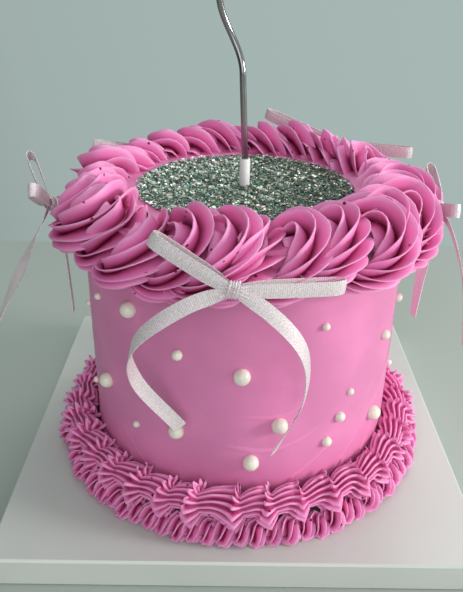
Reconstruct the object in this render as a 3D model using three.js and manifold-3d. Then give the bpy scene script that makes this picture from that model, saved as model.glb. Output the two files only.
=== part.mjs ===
// A tall round sponge cake in pink buttercream on a square white board, with piped borders, sugar pearls,
// a disc of edible glitter, a wavy candle in its holder and five ribbon bows.
// Millimetres, +Z up. The origin is on the board's underside, below the middle of the cake.
// The main bow faces -Y. Azimuths are in degrees, from the front towards +X.
import * as THREE from 'three';
import { mergeVertices } from 'three/addons/utils/BufferGeometryUtils.js';
import Module from 'manifold-3d';

const wasm = await Module();
wasm.setup();

// Driving dimensions.
const GAP = 0.3; // between pieces that touch
const CHORD_ROOM = 0.4; // keeps flat faces that span two points of a ring off the round side behind them
const SMALLEST_DETAIL = 0.04; // what a finished solid's surface may move when slivers are removed
const BOARD = { side: 223, thick: 15, inFront: 105, toTheLeft: 112.5, corner: 3, edge: 1 };
const CAKE = { radius: 77.5, height: 137, shoulder: 1.5, sides: 56 };
const CAKE_TOP = BOARD.thick + CAKE.height;
const GLITTER = { radius: 51, thick: 0.8, sides: 32 };
const HOLDER = { radius: 2.5, height: 13.8, wall: 0.7, socket: 9, sides: 14 };
const CANDLE = {
  radius: 1.5, height: 125, lean: 0.045, straight: 52, wave: 5.35, pitch: 68, steps: 20, sides: 8,
};
const WICK = { radius: 0.5, height: 6, sides: 6 };
const RIBBON = { width: 6, thick: 0.8, loopSteps: 8, tailSteps: 8 };
const KNOT = { along: 6, out: 5.5, up: 7.5 };

// Each border is a ring of loops of cream from a star tip. out and rise are half the ring's section, loops
// lean along the ring by across, and every loop has ridges, with a furrow between them of the given depth
// and a deeper one between loops. pinch draws a loop's ridges together at its foot, and hook turns their
// crests round the section.
const TOP_BORDER = {
  loops: 20, ring: 73.5, height: CAKE_TOP + 1, out: 19.5, rise: 17, across: 11, ridges: 3, furrow: 0.2,
  between: 0.38, pinch: 0.45, hook: 0.22, unevenness: 1, seed: 3, points: 12,
};
const FOOT_BORDERS_MEET = BOARD.thick + 10.5;
const UPPER_FOOT_BORDER = {
  loops: 35, ring: 87, height: BOARD.thick + 17, out: 10, rise: 10, across: 6, ridges: 2, furrow: 0.24,
  between: 0.38, pinch: 0.3, hook: 0.25, unevenness: 0.6, seed: 5, points: 8,
  lowest: FOOT_BORDERS_MEET + GAP / 2, highest: Infinity,
};
const LOWER_FOOT_BORDER = {
  loops: 40, ring: 88, height: BOARD.thick + 5.5, out: 9, rise: 7, across: 3, ridges: 2, furrow: 0.22,
  between: 0.3, pinch: 0.1, hook: 0.15, unevenness: 0.6, seed: 7, points: 6,
  lowest: BOARD.thick + GAP, highest: FOOT_BORDERS_MEET - GAP / 2,
};

// How far a border's loops stray at an unevenness of 1.
const STRAY = { alongPitch: 0.1, lean: 0.15, loopSize: 0.07, ridgeSize: 0.04, crestHeight: 0.8 };
// Where round its section the top border leaves the cake's top, and where it meets the cake's side.
const LEAVES_CAKE_TOP = 1.2 * Math.PI;
const MEETS_CAKE_SIDE = 1.45 * Math.PI;

// Sugar pearls on the side: azimuth, height above the board, size.
const PEARL_DIAMETER = { large: 7.5, medium: 4.9, small: 3.4 };
const PEARL_SUNK = 0.3; // share of a pearl's radius that the cream covers
const FRONT_PEARLS = [
  [-39, 102, 'large'], [-0.5, 80, 'large'], [12, 53.5, 'large'], [3, 34, 'large'], [55, 38, 'large'],
  [-55, 55, 'large'], [-22, 47, 'large'], [-21, 87, 'medium'], [35, 49.5, 'medium'], [30, 38, 'medium'],
  [58, 80, 'medium'], [74, 89.5, 'medium'], [26, 100, 'small'], [39, 61, 'small'], [-39, 41, 'small'],
  [-58, 98, 'small'], [-77, 82, 'small'], [-72, 41, 'small'], [74, 52, 'small'],
];
const BACK_PEARLS = {
  columns: 4, rows: 4, from: 98, to: 262, lowest: 42, highest: 100, stray: 0.4, seed: 11,
};
const BACK_PEARL_SIZES = ['large', 'small', 'medium', 'small'];

// The bows. Places in a bow are along the cake's edge, outwards and up from the knot.
// A loop is given by its folded end. A tail falls by fall, spreads sideways and comes back to end,
// out is how far its four points stand outwards, and turned is how far its face turns away at the knot, at
// its quarters and at its end. A loop's shape is the share of its reach and how far each point stands in
// front of its middle line.
const BOWS = {
  bow_front: {
    azimuth: -3, ring: 95, height: 144,
    loops: [[-31, -7, 17], [42, -11, -2]],
    tails: [
      { spread: -41, fall: 74, end: -22.5, out: [2, 0, -10, -13], turned: [0, 20, 80, 145, 160] },
      { spread: 30, fall: 84, end: 18, out: [1, -4, -9, -11], turned: [0, -30, -70, -78, -60] },
    ],
  },
  bow_right: {
    azimuth: 83, ring: 92.5, height: 146,
    loops: [[-24, 3, 8], [34, -2, 10]],
    tails: [
      { spread: -14, fall: 62, end: -20, out: [5, 11, 16, 18], turned: [0, 0, 0, 0, 0] },
      { spread: 22, fall: 66, end: 16, out: [3, 2, 0, -2], turned: [0, -30, -60, -40, -20] },
    ],
  },
  bow_back_right: {
    azimuth: 144, ring: 92.5, height: 153,
    loops: [[42, -12, 15], [-43, 6, 2]],
    tails: [
      { spread: 26, fall: 78, end: 19, out: [3, 1, -4, -7], turned: [0, 0, -35, -30, 0] },
      { spread: -22, fall: 70, end: -27, out: [4, 5, 3, 0], turned: [0, 0, 40, 60, 40] },
    ],
  },
  bow_back_left: {
    azimuth: -144, ring: 92.5, height: 148,
    loops: [[35, 0, 9], [-39, -8, 6]],
    tails: [
      { spread: 24, fall: 70, end: 30, out: [3, 4, 2, -1], turned: [0, 0, -40, -60, -50] },
      { spread: -30, fall: 80, end: -20, out: [3, 0, -5, -8], turned: [0, 0, 50, 40, 10] },
    ],
  },
  bow_left: {
    azimuth: -84, ring: 92.5, height: 146,
    loops: [[25, 3, 15], [-30, 12, 15]],
    tails: [
      { spread: 14, fall: 60, end: 22, out: [3, 11, 21, 31], turned: [0, -20, -45, -30, -10] },
      { spread: -28, fall: 72, end: -25, out: [1, 0, -1, -2], turned: [0, 0, 0, 0, 0] },
    ],
  },
};

const LOOP_SHAPE = [
  [0, 0.4], [0.3, 2.2], [0.75, 2.2], [0.96, 1.4], [1, 0.3], [0.95, -1.4], [0.6, -1.4], [0, -0.4],
];

const COLOURS = {
  cream: { color: 0xe079b5, roughness: 0.5 },
  piping: { color: 0xdb6caf, roughness: 0.5 },
  board: { color: 0xe9e8e4, roughness: 0.4 },
  glitter: { color: 0x8e9c94, roughness: 0.35, metalness: 0.4 },
  holder: { color: 0xf2f1ec, roughness: 0.45 },
  candle: { color: 0xa7a6a8, roughness: 0.25, metalness: 0.9 },
  wick: { color: 0xf4efe2, roughness: 0.9 },
  ribbon: { color: 0xdcd6cc, roughness: 0.4 },
};

const { degToRad: radians, lerp, clamp } = THREE.MathUtils;
const UP = new THREE.Vector3(0, 0, 1);
const UNTURNED = new THREE.Matrix4();

// Solids and meshes.

function solidOf(geometry, matrix = UNTURNED) {
  const bare = geometry.clone().applyMatrix4(matrix);
  bare.deleteAttribute('normal');
  bare.deleteAttribute('uv');
  const merged = mergeVertices(bare);
  return new wasm.Manifold(new wasm.Mesh({
    numProp: 3,
    vertProperties: merged.attributes.position.array,
    triVerts: new Uint32Array(merged.index.array),
  }));
}

function geometryOf(solid) {
  const { vertProperties, triVerts } = solid.getMesh();
  const geometry = new THREE.BufferGeometry();
  geometry.setAttribute('position', new THREE.BufferAttribute(new Float32Array(vertProperties), 3));
  geometry.setIndex(new THREE.BufferAttribute(new Uint32Array(triVerts), 1));
  geometry.computeVertexNormals();
  return geometry;
}

// The largest connected part of a solid, without the scraps that a cut leaves.
function mainPart(solid) {
  const parts = solid.simplify(SMALLEST_DETAIL).decompose();
  return parts.reduce((best, part) => (part.volume() > best.volume() ? part : best));
}

function namedMesh(name, geometry, finish) {
  const mesh = new THREE.Mesh(geometry, new THREE.MeshStandardMaterial(finish));
  mesh.name = name;
  return mesh;
}

// A closed skin over rings of points: each ring joined to the next, and both ends closed round a middle.
function skinOver(rings) {
  const sides = rings[0].length;
  const middles = [rings[0], rings.at(-1)].map((ring) => {
    const sum = ring.reduce((total, point) => total.add(point), new THREE.Vector3());
    return sum.divideScalar(sides);
  });
  const points = [...rings.flat(), ...middles];
  const [firstMiddle, lastMiddle] = [points.length - 2, points.length - 1];
  const faces = [];
  for (let side = 0; side < sides; side++) {
    const next = (side + 1) % sides;
    const end = (rings.length - 1) * sides;
    for (let ring = 0; ring < rings.length - 1; ring++) {
      const [a, b] = [ring * sides + side, ring * sides + next];
      faces.push(a, b, b + sides, a, b + sides, a + sides);
    }
    faces.push(firstMiddle, next, side, lastMiddle, end + side, end + next);
  }
  const geometry = new THREE.BufferGeometry().setFromPoints(points);
  geometry.setIndex(faces);
  return geometry;
}

function latheAboutZ(profile, sides) {
  const points = profile.map(([radius, height]) => new THREE.Vector2(radius, height));
  return new THREE.LatheGeometry(points, sides).rotateX(Math.PI / 2);
}

// Steady numbers from -1 to 1 that make handmade things uneven.
function uneven(seed, item, trait) {
  const wave = Math.sin(seed * 12.9898 + item * 78.233 + trait * 37.719) * 43758.5453;
  return 2 * (wave - Math.floor(wave)) - 1;
}

function outwardAt(azimuth) {
  return new THREE.Vector3(Math.sin(azimuth), -Math.cos(azimuth), 0);
}

function alongAt(azimuth) {
  return new THREE.Vector3(Math.cos(azimuth), Math.sin(azimuth), 0);
}

// The board and the cake.

function makeBoard() {
  const { side, thick, inFront, toTheLeft, corner, edge } = BOARD;
  const flat = side - 2 * edge;
  const outline = new THREE.Shape();
  const turns = [[1, 1], [-1, 1], [-1, -1], [1, -1]];
  turns.forEach(([x, y], index) => {
    const centre = [x * (flat / 2 - corner), y * (flat / 2 - corner)];
    outline.absarc(...centre, corner, (index * Math.PI) / 2, ((index + 1) * Math.PI) / 2);
  });
  const geometry = new THREE.ExtrudeGeometry(outline, {
    depth: thick - 2 * edge, bevelThickness: edge, bevelSize: edge, bevelSegments: 1, curveSegments: 3,
  });
  return geometry.translate(side / 2 - toTheLeft, side / 2 - inFront, edge);
}

function cakeCylinder() {
  const { radius, shoulder, sides } = CAKE;
  const foot = BOARD.thick + GAP;
  const shoulderInside = radius - shoulder;
  return latheAboutZ([
    [0, foot], [radius, foot], [radius, CAKE_TOP - shoulder], [shoulderInside, CAKE_TOP], [0, CAKE_TOP],
  ], sides);
}

function pearlPlaces() {
  const { columns, rows, from, to, lowest, highest, stray, seed } = BACK_PEARLS;
  const back = [];
  for (let column = 0; column < columns; column++) {
    for (let row = 0; row < rows; row++) {
      const item = column * rows + row;
      const across = (column + 0.5 + stray * uneven(seed, item, 0)) / columns;
      const upwards = (row + 0.5 + stray * uneven(seed, item, 1)) / rows;
      const size = BACK_PEARL_SIZES[(item + column) % BACK_PEARL_SIZES.length];
      back.push([lerp(from, to, across), lerp(lowest, highest, upwards), size]);
    }
  }
  return [...FRONT_PEARLS, ...back];
}

function pearl([azimuth, height, size], extra = 0) {
  const radius = PEARL_DIAMETER[size] / 2;
  const sides = size === 'large' ? 8 : 6;
  const out = outwardAt(radians(azimuth));
  const centre = out.clone().multiplyScalar(CAKE.radius + radius * PEARL_SUNK);
  centre.z = BOARD.thick + height;
  const place = new THREE.Matrix4().makeRotationZ(radians(azimuth)).setPosition(centre);
  return solidOf(new THREE.SphereGeometry(radius + extra, sides, sides / 2), place);
}

function cakeWithPearls() {
  return wasm.Manifold.union([solidOf(cakeCylinder()), ...pearlPlaces().map((place) => pearl(place))]);
}

function glitterDisc() {
  const { radius, thick, sides } = GLITTER;
  const hole = HOLDER.radius + GAP;
  const [low, high] = [CAKE_TOP + GAP, CAKE_TOP + GAP + thick];
  return latheAboutZ([[hole, low], [radius, low], [radius, high], [hole, high], [hole, low]], sides);
}

// The piped borders.

// A ridge's or furrow's place and size in its loop: how far along the loop it lies and how far out.
function ridgeTraits({ ridges, furrow, between }) {
  const traits = [{ share: 0, size: 1 - between, crest: false }];
  for (let ridge = 0; ridge < ridges; ridge++) {
    traits.push({ share: (2 * ridge + 1) / (2 * ridges), size: 1, crest: true });
    if (ridge < ridges - 1) traits.push({ share: (ridge + 1) / ridges, size: 1 - furrow, crest: false });
  }
  return traits;
}

// One point of a border's ring: loop and ridge say where along the ring, angle where round its section,
// from outwards (0) over the top (a quarter turn) to inwards.
function borderPoint(border, loop, { share, size, crest }, angle) {
  const { loops, ring, height, out, rise, across, pinch, hook, unevenness, seed } = border;
  const trait = (index) => unevenness * uneven(seed, loop, index);
  const pitch = (2 * Math.PI * ring) / loops;
  const foot = Math.max(0, -Math.sin(angle));
  const betweenLoops = share === 0;
  const spread = (share - 0.5) * (betweenLoops ? 1 : 1 - pinch * foot);
  const lean = across * Math.cos(angle) * (betweenLoops ? 1 : 1 + STRAY.lean * trait(1));
  const along = pitch * (loop + spread + STRAY.alongPitch * trait(0)) + lean;
  const turned = angle + (crest ? hook : 0);
  const loopSize = 1 + STRAY.loopSize * trait(2) + STRAY.ridgeSize * uneven(seed, loop, 10 * share + 3);
  const reach = size * (crest ? loopSize : 1);
  const level = height + rise * reach * Math.sin(turned) + (crest ? STRAY.crestHeight * trait(3) : 0);
  const [radius, z] = pressedFlat(border, ring + out * reach * Math.cos(turned), level, angle);
  const point = outwardAt(along / ring).multiplyScalar(radius);
  point.z = z;
  return point;
}

// Where the cream lies against the cake, the board or the other border, it is pressed flat. The top
// border fits round the cake's edge, and the foot borders lie against its side.
function pressedFlat({ lowest, highest }, radius, height, angle) {
  const side = CAKE.radius + GAP + CHORD_ROOM;
  const top = CAKE_TOP + GAP;
  if (lowest !== undefined) return [Math.max(radius, side), clamp(height, lowest, highest)];
  if (radius >= side || height >= top) return [radius, height];
  return [angle < LEAVES_CAKE_TOP ? radius : side, angle > MEETS_CAKE_SIDE ? height : top];
}

// The closed ring of a border.
function pipedBorder(border) {
  const traits = ridgeTraits(border);
  const points = [];
  for (let loop = 0; loop < border.loops; loop++) {
    for (const ridge of traits) {
      for (let place = 0; place < border.points; place++) {
        points.push(borderPoint(border, loop, ridge, (2 * Math.PI * place) / border.points));
      }
    }
  }
  const columns = border.loops * traits.length;
  const at = (column, place) => (column % columns) * border.points + (place % border.points);
  const faces = [];
  for (let column = 0; column < columns; column++) {
    for (let place = 0; place < border.points; place++) {
      const [a, b] = [at(column, place), at(column + 1, place)];
      const [c, d] = [at(column + 1, place + 1), at(column, place + 1)];
      faces.push(a, b, c, a, c, d);
    }
  }
  const geometry = new THREE.BufferGeometry().setFromPoints(points);
  geometry.setIndex(faces);
  return solidOf(geometry);
}

// The candle.

// It leans towards -X from the holder's rim up to where its waves start.
class CandleLine extends THREE.Curve {
  getPoint(share, target = new THREE.Vector3()) {
    const { height, lean, straight, wave, pitch } = CANDLE;
    const bottom = CAKE_TOP + HOLDER.height - HOLDER.socket + 2 * GAP;
    const top = CAKE_TOP + height;
    const z = lerp(bottom, top, share);
    const phase = (2 * Math.PI * Math.max(0, z - CAKE_TOP - straight)) / pitch;
    const leaning = lean * (clamp(z - CAKE_TOP, HOLDER.height, straight) - HOLDER.height);
    return target.set(wave * (Math.cos(phase) - 1) - leaning, 0.5 * wave * Math.sin(phase) ** 2, z);
  }
}

function makeCandle() {
  const { radius, sides, steps } = CANDLE;
  const section = new THREE.Shape().absarc(0, 0, radius, 0, 2 * Math.PI);
  const extrudePath = new CandleLine();
  return new THREE.ExtrudeGeometry(section, { steps, curveSegments: sides / 2, extrudePath });
}

function makeHolder() {
  const { radius, height, wall, socket, sides } = HOLDER;
  const [foot, rim] = [CAKE_TOP + GAP, CAKE_TOP + GAP + height];
  const inner = radius - wall;
  const floor = rim - socket;
  return latheAboutZ([
    [0, foot], [radius, foot], [radius, rim], [inner, rim], [inner, floor], [0, floor],
  ], sides);
}

function makeWick() {
  const { radius, height, sides } = WICK;
  const tip = new CandleLine().getPoint(1);
  const wick = new THREE.CylinderGeometry(radius, radius, height, sides).rotateX(Math.PI / 2);
  return wick.translate(tip.x, tip.y, tip.z + GAP + height / 2);
}

// The bows.

function placeInBow({ azimuth, ring, height }, [along, out, up]) {
  const angle = radians(azimuth);
  return outwardAt(angle).multiplyScalar(ring + out).addScaledVector(alongAt(angle), along)
    .addScaledVector(UP, height + up);
}

// A strip of ribbon along a curve. The width lies across the strip's guide direction, and extra makes it
// larger all round.
function ribbonStrip(places, steps, widthAt, extra) {
  const curve = new THREE.CatmullRomCurve3(places, false, 'centripetal');
  const half = { width: RIBBON.width / 2 + extra, thick: RIBBON.thick / 2 + extra };
  const rings = [];
  for (let step = 0; step <= steps; step++) {
    const share = step / steps;
    const travel = curve.getTangentAt(share);
    const width = widthAt(travel, share);
    width.addScaledVector(travel, -width.dot(travel)).normalize();
    const normal = new THREE.Vector3().crossVectors(travel, width);
    const middle = curve.getPointAt(share).addScaledVector(travel, extra * (2 * share - 1));
    const corners = [[1, 1], [-1, 1], [-1, -1], [1, -1]];
    rings.push(corners.map(([w, t]) => (
      middle.clone().addScaledVector(width, w * half.width).addScaledVector(normal, t * half.thick))));
  }
  return solidOf(skinOver(rings));
}

// A loop lies flat: out along its front, a tight fold at its end and back behind.
function bowLoop(bow, [along, out, up], extra) {
  const places = LOOP_SHAPE.map(([share, stand]) => (
    placeInBow(bow, [along * share, out * share + stand, up * share])));
  const outward = outwardAt(radians(bow.azimuth));
  const reach = placeInBow(bow, [along, out, up]).sub(placeInBow(bow, [0, 0, 0]));
  const width = new THREE.Vector3().crossVectors(outward, reach);
  return ribbonStrip(places, RIBBON.loopSteps, () => width.clone(), extra);
}

function bowTail(bow, { spread, fall, end, out, turned }, extra) {
  const course = [
    [0, 0, 0],
    [0.45 * spread, out[0], -0.1 * fall],
    [0.93 * spread, out[1], -0.34 * fall],
    [0.98 * spread, out[2], -0.65 * fall],
    [end, out[3], -fall],
  ];
  const places = course.map((place) => placeInBow(bow, place));
  const outward = outwardAt(radians(bow.azimuth));
  const widthAt = (travel, share) => {
    const quarter = Math.min(Math.floor(4 * share), 3);
    const turn = radians(lerp(turned[quarter], turned[quarter + 1], 4 * share - quarter));
    return new THREE.Vector3().crossVectors(outward, travel).normalize().applyAxisAngle(travel, turn);
  };
  return ribbonStrip(places, RIBBON.tailSteps, widthAt, extra);
}

function bowKnot(bow, extra) {
  const place = new THREE.Matrix4().makeRotationZ(radians(bow.azimuth));
  place.setPosition(placeInBow(bow, [0, 0, 0]));
  const { along, out, up } = KNOT;
  const ball = new THREE.SphereGeometry(0.5, 6, 4).rotateX(Math.PI / 2);
  return solidOf(ball.scale(along + 2 * extra, out + 2 * extra, up + 2 * extra), place);
}

function makeBow(bow, extra = 0) {
  return wasm.Manifold.union([
    bowKnot(bow, extra),
    ...bow.loops.map((end) => bowLoop(bow, end, extra)),
    ...bow.tails.map((tail) => bowTail(bow, tail, extra)),
  ]);
}

// The whole.

const bows = Object.entries(BOWS);
const spaceForPearls = wasm.Manifold.union(pearlPlaces().map((place) => pearl(place, GAP)));
// The room for a bow is the bow grown by the gap and by less, as a tight fold can leave a hole in either.
const spaceForBows = wasm.Manifold.union(bows.flatMap(([, bow]) => (
  [GAP, GAP / 2].map((extra) => makeBow(bow, extra)))));
const piped = (border) => pipedBorder(border).subtract(spaceForPearls).subtract(spaceForBows);

const cake = new THREE.Group();
cake.name = 'cake_on_board';
cake.add(
  namedMesh('cake_board', makeBoard(), COLOURS.board),
  namedMesh('cake_body', geometryOf(mainPart(cakeWithPearls())), COLOURS.cream),
  namedMesh('border_top', geometryOf(mainPart(piped(TOP_BORDER))), COLOURS.piping),
  namedMesh('border_foot_upper', geometryOf(mainPart(piped(UPPER_FOOT_BORDER))), COLOURS.piping),
  namedMesh('border_foot_lower', geometryOf(mainPart(piped(LOWER_FOOT_BORDER))), COLOURS.piping),
  namedMesh('glitter_top', glitterDisc(), COLOURS.glitter),
  namedMesh('candle_holder', makeHolder(), COLOURS.holder),
  namedMesh('candle', makeCandle(), COLOURS.candle),
  namedMesh('candle_wick', makeWick(), COLOURS.wick),
  ...bows.map(([name, bow]) => namedMesh(name, geometryOf(mainPart(makeBow(bow))), COLOURS.ribbon)),
);

export default cake;
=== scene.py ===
"""A tall round cake in pink buttercream on a white drum board: its coat, piped borders, pearls, glitter,
candle and ribbon bows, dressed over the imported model. Sizes are in millimetres until a mesh is made."""
import math
import random
from collections import namedtuple

import bpy
import numpy as np
from mathutils import Matrix, Vector


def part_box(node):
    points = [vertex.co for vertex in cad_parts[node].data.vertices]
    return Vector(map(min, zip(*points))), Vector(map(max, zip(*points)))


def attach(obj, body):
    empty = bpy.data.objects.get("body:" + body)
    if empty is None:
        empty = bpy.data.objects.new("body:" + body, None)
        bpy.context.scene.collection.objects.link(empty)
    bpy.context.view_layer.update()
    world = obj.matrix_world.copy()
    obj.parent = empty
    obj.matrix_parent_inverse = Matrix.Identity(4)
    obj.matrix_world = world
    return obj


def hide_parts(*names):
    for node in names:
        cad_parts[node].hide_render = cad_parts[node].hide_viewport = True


bl_info = {
    "name": "Piped Buttercream Cake",
    "version": (1, 0, 0),
    "blender": (4, 5, 0),
    "location": "View3D > Sidebar > Cake",
    "description": "Pipes, pearls, glitters and ribbons a tall round cake over its packed model",
    "category": "Add Mesh",
}

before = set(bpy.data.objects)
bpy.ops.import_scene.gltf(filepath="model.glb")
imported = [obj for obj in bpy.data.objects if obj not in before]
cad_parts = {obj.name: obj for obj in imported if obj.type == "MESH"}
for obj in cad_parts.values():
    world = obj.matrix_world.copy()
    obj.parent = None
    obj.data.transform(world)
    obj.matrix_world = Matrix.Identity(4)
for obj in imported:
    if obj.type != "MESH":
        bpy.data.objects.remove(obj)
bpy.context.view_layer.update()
MM = 0.001
BODY = "root"


def corner(node, end, axis):
    """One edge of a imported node's box, in millimetres."""
    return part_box(node)[end]["xyz".index(axis)] / MM


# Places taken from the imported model, whose glitter starts a little above the cake's top
BOARD_TOP = corner("cake_board", 1, "z")
GLITTER_ABOVE = 0.3
CAKE_TOP = corner("glitter_top", 0, "z") - GLITTER_ABOVE
COAT_FOOT = corner("cake_body", 0, "z")
GLITTER_RADIUS = corner("glitter_top", 1, "x")
GLITTER_TOP = corner("glitter_top", 1, "z")
HOLDER_FOOT = corner("candle_holder", 0, "z")
HOLDER_TOP = corner("candle_holder", 1, "z")
CANDLE_FOOT = corner("candle", 0, "z")
CANDLE_TOP = corner("candle", 1, "z")

# The camera, fitted to the board's straight edges and the cake's ellipses
IMAGE_HEIGHT = 592
FOCAL_PIXELS = 690
SENSOR = 36
CAMERA_PLACE = (-5.5, -320, 257)
CAMERA_PITCH = 27.16
CAMERA_ROLL = 0.75

# The light: lamps with places and sizes in metres, and the wall's tones from the dark side to the window
LIGHTS = {
    "key": {"place": (1.05, -0.24, 0.38), "size": 0.3, "power": 9.2, "tone": (1, 0.97, 0.95)},
    "fill": {"place": (-0.15, -1.15, 0.6), "size": 1.1, "power": 6.6, "tone": (0.95, 0.97, 1)},
    "top": {"place": (0.25, 0.45, 1.1), "size": 0.5, "power": 3.4, "tone": (0.97, 0.98, 1)},
}
LIGHTS_AIM = (0, 0, 0.1)
WINDOW_SIDE = (0.8, 0.35, 0.2)
WALL_TONES = ((0.1, 0.12), (0.325, 0.45), (0.535, 0.98), (0.665, 1.05), (0.8, 1.1), (1, 1.3))
# The floor, in metres
FLOOR = {"middle": (0, -0.46, 0), "sides": (2.6, 1.5, 1)}

# The coat: its side's rows, its top's rings and their width. At its edge the top steps in by edge and rises
# by dome. Waves here and below are the scale and the depth of a surface's unevenness.
COAT = {"sides": 160, "rows": 70, "edge": 1.5, "dome": 0.4, "rings": 6, "ring": 11}
COAT_WAVES = ((26, 0.9), (9, 0.25))
PEARL_WAVES = (2.5, 0.16)
GLITTER_BED = {"sides": 96, "depth": 1.0, "waves": (3, 0.4)}

# The cream comes out of a star tip as a strand with thin blades. A tip gives the strand's section.
TOP_TIP = {"blades": 9, "core": 2.2, "depth": 7.4, "skew": -0.1, "thick": 1.1}
SHELL_TIP = {"blades": 13, "core": 6.3, "depth": 1.9, "skew": 0.0, "thick": 1.7}
RUFFLE_TIP = {"blades": 6, "core": 2.2, "depth": 5.2, "skew": 0.2, "thick": 1.6}
# Points round a blade: the share of its depth, and the side of its middle in half thicknesses
BLADE = (
    (0, -1.5), (0.35, -1), (0.75, -1), (0.97, -0.8), (1, 0), (0.97, 0.8), (0.75, 1), (0.35, 1), (0, 1.5),
)
BLADE_TAPER = 0.35
BLADE_CURL = 1.3
FURROW = 0.93
# A border is one strand in leaning loops round the cake. ring and height are the loops' middle. up, lean
# and out are the half sizes of a loop, and slope tips the loop outwards at its top. lean_from and
# out_from are the turn where a loop leans and stands out most, and swell_at where its cream is thickest.
# The blades turn against the loop by twist. flare makes each loop a shell that widens to its end, and
# ragged is how much the blades' edges waver.
TOP_BORDER = {
    "tip": TOP_TIP, "ring": 76.2, "height": CAKE_TOP - 7.5, "slope": 25, "up": 11, "lean": 11, "out": 7,
    "lean_from": -25, "out_from": 35, "twist": -1, "size": 0.9, "swell": 0.35, "swell_at": 70, "flare": 0,
    "steps": 37, "seed": 5, "uneven": 1.6, "ragged": 0.3,
}
UPPER_FOOT_BORDER = {
    "tip": SHELL_TIP, "ring": 86.5, "height": BOARD_TOP + 16, "slope": 0, "up": 0.9, "lean": 0, "out": 0.8,
    "lean_from": 0, "out_from": 0, "twist": 0, "size": 0.86, "swell": 0, "swell_at": 0, "flare": 0.32,
    "steps": 21, "seed": 9, "uneven": 0.7, "ragged": 0.12,
}
LOWER_FOOT_BORDER = {
    "tip": RUFFLE_TIP, "ring": 91, "height": BOARD_TOP + 4.5, "slope": 40, "up": 3.2, "lean": 2, "out": 2.6,
    "lean_from": 90, "out_from": 0, "twist": -1, "size": 0.55, "swell": 0.2, "swell_at": 0, "flare": 0,
    "steps": 20, "seed": 7, "uneven": 1.0, "ragged": 0.2,
}

# How far the loops of a border with an unevenness of 1 differ, as a standard deviation
STRAYS = {
    "ring": 0.7, "height": 0.8, "size": 0.06, "azimuth": 0.07, "up": 0.08, "lean": 0.1, "out": 0.15,
    "spin": 0.25, "slope": 0.12,
}
# The share of a shell over which it widens, and how much further its blades reach at its wide end
SHELL_WIDENS = 0.86
SHELL_SPIKES = 0.275

# Pearls: azimuth from the front towards +X, height above the board, size
PEARL_DIAMETER = {"large": 7.5, "medium": 4.9, "small": 3.4}
PEARL_SUNK = 0.3
FRONT_PEARLS = (
    (-39, 102, "large"), (-0.5, 80, "large"), (12, 53.5, "large"), (3, 34, "large"), (55, 38, "large"),
    (-55, 55, "large"), (-22, 47, "large"), (-21, 87, "medium"), (35, 49.5, "medium"), (30, 38, "medium"),
    (58, 80, "medium"), (74, 89.5, "medium"), (26, 100, "small"), (39, 61, "small"), (-39, 41, "small"),
    (-58, 98, "small"), (-77, 82, "small"), (-72, 41, "small"), (74, 52, "small"),
)
BACK_PEARLS = {
    "columns": 4, "rows": 4, "from": 98, "to": 262, "lowest": 42, "highest": 100, "stray": 0.4, "seed": 11,
}
BACK_PEARL_SIZES = ("large", "small", "medium", "small")

# The candle's lean below its waves and the waves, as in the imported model
CANDLE = {"lean": 0.045, "straight": 52, "wave": 5.35, "pitch": 68, "sway": 0.5}
HOLDER = {"radius": 2.5, "wall": 0.7, "socket": 9, "rounded": 0.25}
WICK_ROUNDED = 0.2

# Bows: places are along the cake's edge, outwards and up from the knot. A loop is given by its folded
# end. A tail falls by fall, spreads sideways and comes back to end, out is how far it stands off at its
# quarters and its end, and turned is how far its face turns away there and at the knot, in degrees.
Tail = namedtuple("Tail", "spread fall end out turned")
BOWS = {
    "bow_front": {
        "azimuth": -3, "ring": 95, "height": 144, "loops": ((-31, -7, 17), (42, -11, -2)),
        "tails": (
            Tail(-41, 74, -22.5, (2, 0, -10, -13), (0, 20, 80, 145, 160)),
            Tail(30, 84, 18, (1, -4, -9, -11), (0, -30, -70, -78, -60))),
    },
    "bow_right": {
        "azimuth": 83, "ring": 92.5, "height": 146, "loops": ((-24, 3, 8), (34, -2, 10)),
        "tails": (
            Tail(-14, 62, -20, (5, 11, 16, 18), (0, 0, 0, 0, 0)),
            Tail(22, 66, 16, (3, 2, 0, -2), (0, -30, -60, -40, -20))),
    },
    "bow_back_right": {
        "azimuth": 144, "ring": 92.5, "height": 153, "loops": ((42, -12, 15), (-43, 6, 2)),
        "tails": (
            Tail(26, 78, 19, (3, 1, -4, -7), (0, 0, -35, -30, 0)),
            Tail(-22, 70, -27, (4, 5, 3, 0), (0, 0, 40, 60, 40))),
    },
    "bow_back_left": {
        "azimuth": -144, "ring": 92.5, "height": 148, "loops": ((35, 0, 9), (-39, -8, 6)),
        "tails": (
            Tail(24, 70, 30, (3, 4, 2, -1), (0, 0, -40, -60, -50)),
            Tail(-30, 80, -20, (3, 0, -5, -8), (0, 0, 50, 40, 10))),
    },
    "bow_left": {
        "azimuth": -84, "ring": 92.5, "height": 146, "loops": ((25, 3, 15), (-30, 12, 15)),
        "tails": (
            Tail(14, 60, 22, (3, 11, 21, 31), (0, -20, -45, -30, -10)),
            Tail(-28, 72, -25, (1, 0, -1, -2), (0, 0, 0, 0, 0))),
    },
}
# A loop's course: the share of the way to its folded end, and how far it stands off that line
LOOP_SHAPE = ((0, 0.6), (0.25, 2.2), (0.7, 2.6), (0.95, 1.9), (1, 0.2), (0.95, -1.5), (0.6, -1.7), (0, -0.6))
# A tail's course at its quarters: the share of its spread and of its fall
TAIL_SHAPE = ((0.45, 0.1), (0.93, 0.34), (0.98, 0.65))
KNOT = {"along": 0.9, "out": 2.6, "up": 3.4, "narrow": 0.68, "crease": 0.35}
KNOT_CORNERS = 8
# Steps between two places of a course, before it is divided evenly, and rows across a ribbon
COURSE_STEPS = 24
RIBBON_ROWS = 8
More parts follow.
